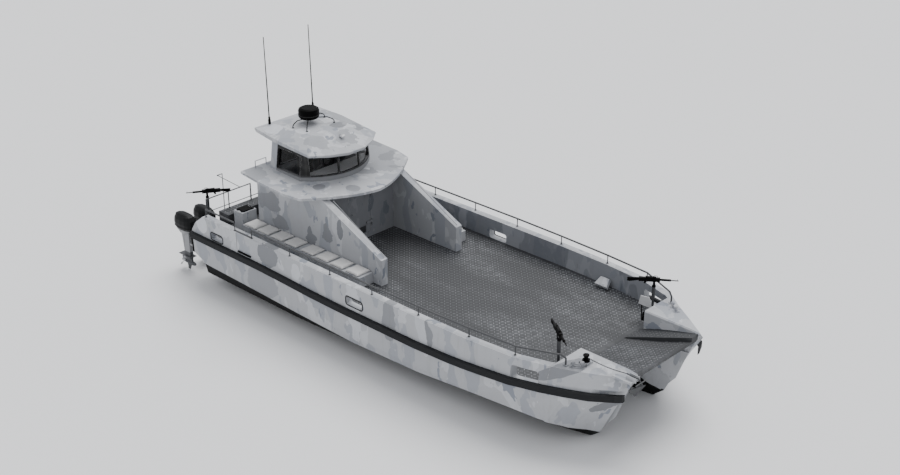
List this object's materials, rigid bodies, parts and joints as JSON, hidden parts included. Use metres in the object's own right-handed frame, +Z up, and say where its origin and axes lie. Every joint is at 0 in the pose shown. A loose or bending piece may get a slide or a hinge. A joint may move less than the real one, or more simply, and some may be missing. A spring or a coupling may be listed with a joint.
{
  "type": "military landing craft",
  "caption": "Catamaran landing craft with an open tread-plate cargo deck, bow apron, aft wheelhouse, side seats, deck guns and outboard engines.",
  "frame": {"origin": "on the ground under the middle of the whole craft's box", "axes": "+X towards the bow, +Y to port, +Z up; the flat keels stand on Z = 0"},
  "size_m": [15.937, 5.8612, 7.0802],
  "materials": {
    "camouflage_paint": "matt, pale grey and blue-grey patches over welded plate",
    "strake_rubber": "dull black rubber",
    "tread_plate": "dark chequer plate, worn bright on its bars",
    "rail_steel": "dull dark steel",
    "seat_vinyl": "pale grey vinyl",
    "black_metal": "satin black",
    "engine_cowl": "dark grey, glossy",
    "tinted_glass": "nearly black tint",
    "console_plastic": "dull grey"
  },
  "bodies": {
    "craft": {"anchor": "rail_steel", "bow_apron": "tread_plate", "bridge_deck": "camouflage_paint", "brow_platform": "camouflage_paint", "bulwark_port": "camouflage_paint", "bulwark_starboard": "camouflage_paint", "cargo_deck": "tread_plate", "deckhouse": "camouflage_paint", "engine_mount_port": "black_metal", "engine_mount_starboard": "black_metal", "foredeck_port": "camouflage_paint", "foredeck_starboard": "camouflage_paint", "gun_pedestal_aft_port": "rail_steel", "gun_pedestal_aft_starboard": "rail_steel", "gun_pedestal_fore_port": "rail_steel", "gun_pedestal_fore_starboard": "rail_steel", "helm": "console_plastic", "hull_port": "camouflage_paint", "hull_starboard": "camouflage_paint", "locker_port": "camouflage_paint", "locker_starboard": "camouflage_paint", "radome": "black_metal", "rub_strake_port": "strake_rubber", "rub_strake_starboard": "strake_rubber", "seat_bench_port": "camouflage_paint", "seat_bench_starboard": "camouflage_paint", "seat_pads_port": "seat_vinyl", "seat_pads_starboard": "seat_vinyl", "side_rail_port": "rail_steel", "side_rail_starboard": "rail_steel", "stern_platform": "tread_plate", "stern_rail": "rail_steel", "wheelhouse": "camouflage_paint", "wheelhouse_glass": "tinted_glass", "wheelhouse_roof": "camouflage_paint", "whip_antenna_port": "black_metal", "whip_antenna_starboard": "black_metal", "windlass": "black_metal"},
    "swivel_starboard_outer": {"outboard_swivel_starboard_outer": "black_metal"},
    "engine_starboard_outer": {"outboard_engine_starboard_outer": "engine_cowl"},
    "propeller_starboard_outer": {"propeller_starboard_outer": "rail_steel"},
    "swivel_starboard_inner": {"outboard_swivel_starboard_inner": "black_metal"},
    "engine_starboard_inner": {"outboard_engine_starboard_inner": "engine_cowl"},
    "propeller_starboard_inner": {"propeller_starboard_inner": "rail_steel"},
    "swivel_port_inner": {"outboard_swivel_port_inner": "black_metal"},
    "engine_port_inner": {"outboard_engine_port_inner": "engine_cowl"},
    "propeller_port_inner": {"propeller_port_inner": "rail_steel"},
    "swivel_port_outer": {"outboard_swivel_port_outer": "black_metal"},
    "engine_port_outer": {"outboard_engine_port_outer": "engine_cowl"},
    "propeller_port_outer": {"propeller_port_outer": "rail_steel"},
    "gun_fore_starboard": {"deck_gun_fore_starboard": "black_metal"},
    "gun_fore_port": {"deck_gun_fore_port": "black_metal"},
    "gun_aft_starboard": {"deck_gun_aft_starboard": "black_metal"},
    "gun_aft_port": {"deck_gun_aft_port": "black_metal"},
    "deckhouse_door": {"deckhouse_door": "camouflage_paint"},
    "wheelhouse_door": {"wheelhouse_door": "camouflage_paint"},
    "locker_lid_starboard": {"locker_lid_starboard": "black_metal"},
    "locker_lid_port": {"locker_lid_port": "black_metal"}
  },
  "joints": [
    {"name": "tilt_starboard_outer", "type": "hinge", "parent": "craft", "child": "swivel_starboard_outer", "pos_m": [-7.0985, -2.5, 1.26], "axis": [0, 1, 0], "range_deg": [0, 40]},
    {"name": "steer_starboard_outer", "type": "hinge", "parent": "swivel_starboard_outer", "child": "engine_starboard_outer", "pos_m": [-7.2585, -2.5, 1.26], "axis": [0, 0, 1], "range_deg": [-30, 30]},
    {"name": "spin_starboard_outer", "type": "hinge", "parent": "engine_starboard_outer", "child": "propeller_starboard_outer", "pos_m": [-7.7485, -2.5, 0.25], "axis": [1, 0, 0], "continuous": true},
    {"name": "tilt_starboard_inner", "type": "hinge", "parent": "craft", "child": "swivel_starboard_inner", "pos_m": [-7.0985, -1.82, 1.26], "axis": [0, 1, 0], "range_deg": [0, 40]},
    {"name": "steer_starboard_inner", "type": "hinge", "parent": "swivel_starboard_inner", "child": "engine_starboard_inner", "pos_m": [-7.2585, -1.82, 1.26], "axis": [0, 0, 1], "range_deg": [-30, 30]},
    {"name": "spin_starboard_inner", "type": "hinge", "parent": "engine_starboard_inner", "child": "propeller_starboard_inner", "pos_m": [-7.7485, -1.82, 0.25], "axis": [1, 0, 0], "continuous": true},
    {"name": "tilt_port_inner", "type": "hinge", "parent": "craft", "child": "swivel_port_inner", "pos_m": [-7.0985, 1.82, 1.26], "axis": [0, 1, 0], "range_deg": [0, 40]},
    {"name": "steer_port_inner", "type": "hinge", "parent": "swivel_port_inner", "child": "engine_port_inner", "pos_m": [-7.2585, 1.82, 1.26], "axis": [0, 0, 1], "range_deg": [-30, 30]},
    {"name": "spin_port_inner", "type": "hinge", "parent": "engine_port_inner", "child": "propeller_port_inner", "pos_m": [-7.7485, 1.82, 0.25], "axis": [1, 0, 0], "continuous": true},
    {"name": "tilt_port_outer", "type": "hinge", "parent": "craft", "child": "swivel_port_outer", "pos_m": [-7.0985, 2.5, 1.26], "axis": [0, 1, 0], "range_deg": [0, 40]},
    {"name": "steer_port_outer", "type": "hinge", "parent": "swivel_port_outer", "child": "engine_port_outer", "pos_m": [-7.2585, 2.5, 1.26], "axis": [0, 0, 1], "range_deg": [-30, 30]},
    {"name": "spin_port_outer", "type": "hinge", "parent": "engine_port_outer", "child": "propeller_port_outer", "pos_m": [-7.7485, 2.5, 0.25], "axis": [1, 0, 0], "continuous": true},
    {"name": "traverse_fore_starboard", "type": "hinge", "parent": "craft", "child": "gun_fore_starboard", "pos_m": [5.7515, -1.83, 2.56], "axis": [0, 0, 1], "range_deg": [-80, 80]},
    {"name": "traverse_fore_port", "type": "hinge", "parent": "craft", "child": "gun_fore_port", "pos_m": [5.7515, 1.83, 2.56], "axis": [0, 0, 1], "range_deg": [-80, 80]},
    {"name": "traverse_aft_starboard", "type": "hinge", "parent": "craft", "child": "gun_aft_starboard", "pos_m": [-6.8585, -2.17, 2.4], "axis": [0, 0, 1], "range_deg": [-80, 80]},
    {"name": "traverse_aft_port", "type": "hinge", "parent": "craft", "child": "gun_aft_port", "pos_m": [-6.8585, 2.17, 2.4], "axis": [0, 0, 1], "range_deg": [-80, 80]},
    {"name": "deckhouse_door_hinge", "type": "hinge", "parent": "craft", "child": "deckhouse_door", "pos_m": [-2.8135, 0.43, 2.5], "axis": [0, 0, 1], "range_deg": [0, 105]},
    {"name": "wheelhouse_door_hinge", "type": "hinge", "parent": "craft", "child": "wheelhouse_door", "pos_m": [-5.0615, -0.26, 3.95], "axis": [0, 0, -1], "range_deg": [0, 105]},
    {"name": "locker_lid_hinge_starboard", "type": "hinge", "parent": "craft", "child": "locker_lid_starboard", "pos_m": [-5.8085, -1.87, 2.22], "axis": [1, 0, 0], "range_deg": [0, 100]},
    {"name": "locker_lid_hinge_port", "type": "hinge", "parent": "craft", "child": "locker_lid_port", "pos_m": [-5.8085, 1.87, 2.22], "axis": [-1, 0, 0], "range_deg": [0, 100]}
  ],
  "couplings": [
    {"joint": "steer_starboard_inner", "follows": "steer_starboard_outer", "ratio": 1},
    {"joint": "steer_port_inner", "follows": "steer_starboard_outer", "ratio": 1},
    {"joint": "steer_port_outer", "follows": "steer_starboard_outer", "ratio": 1}
  ]
}
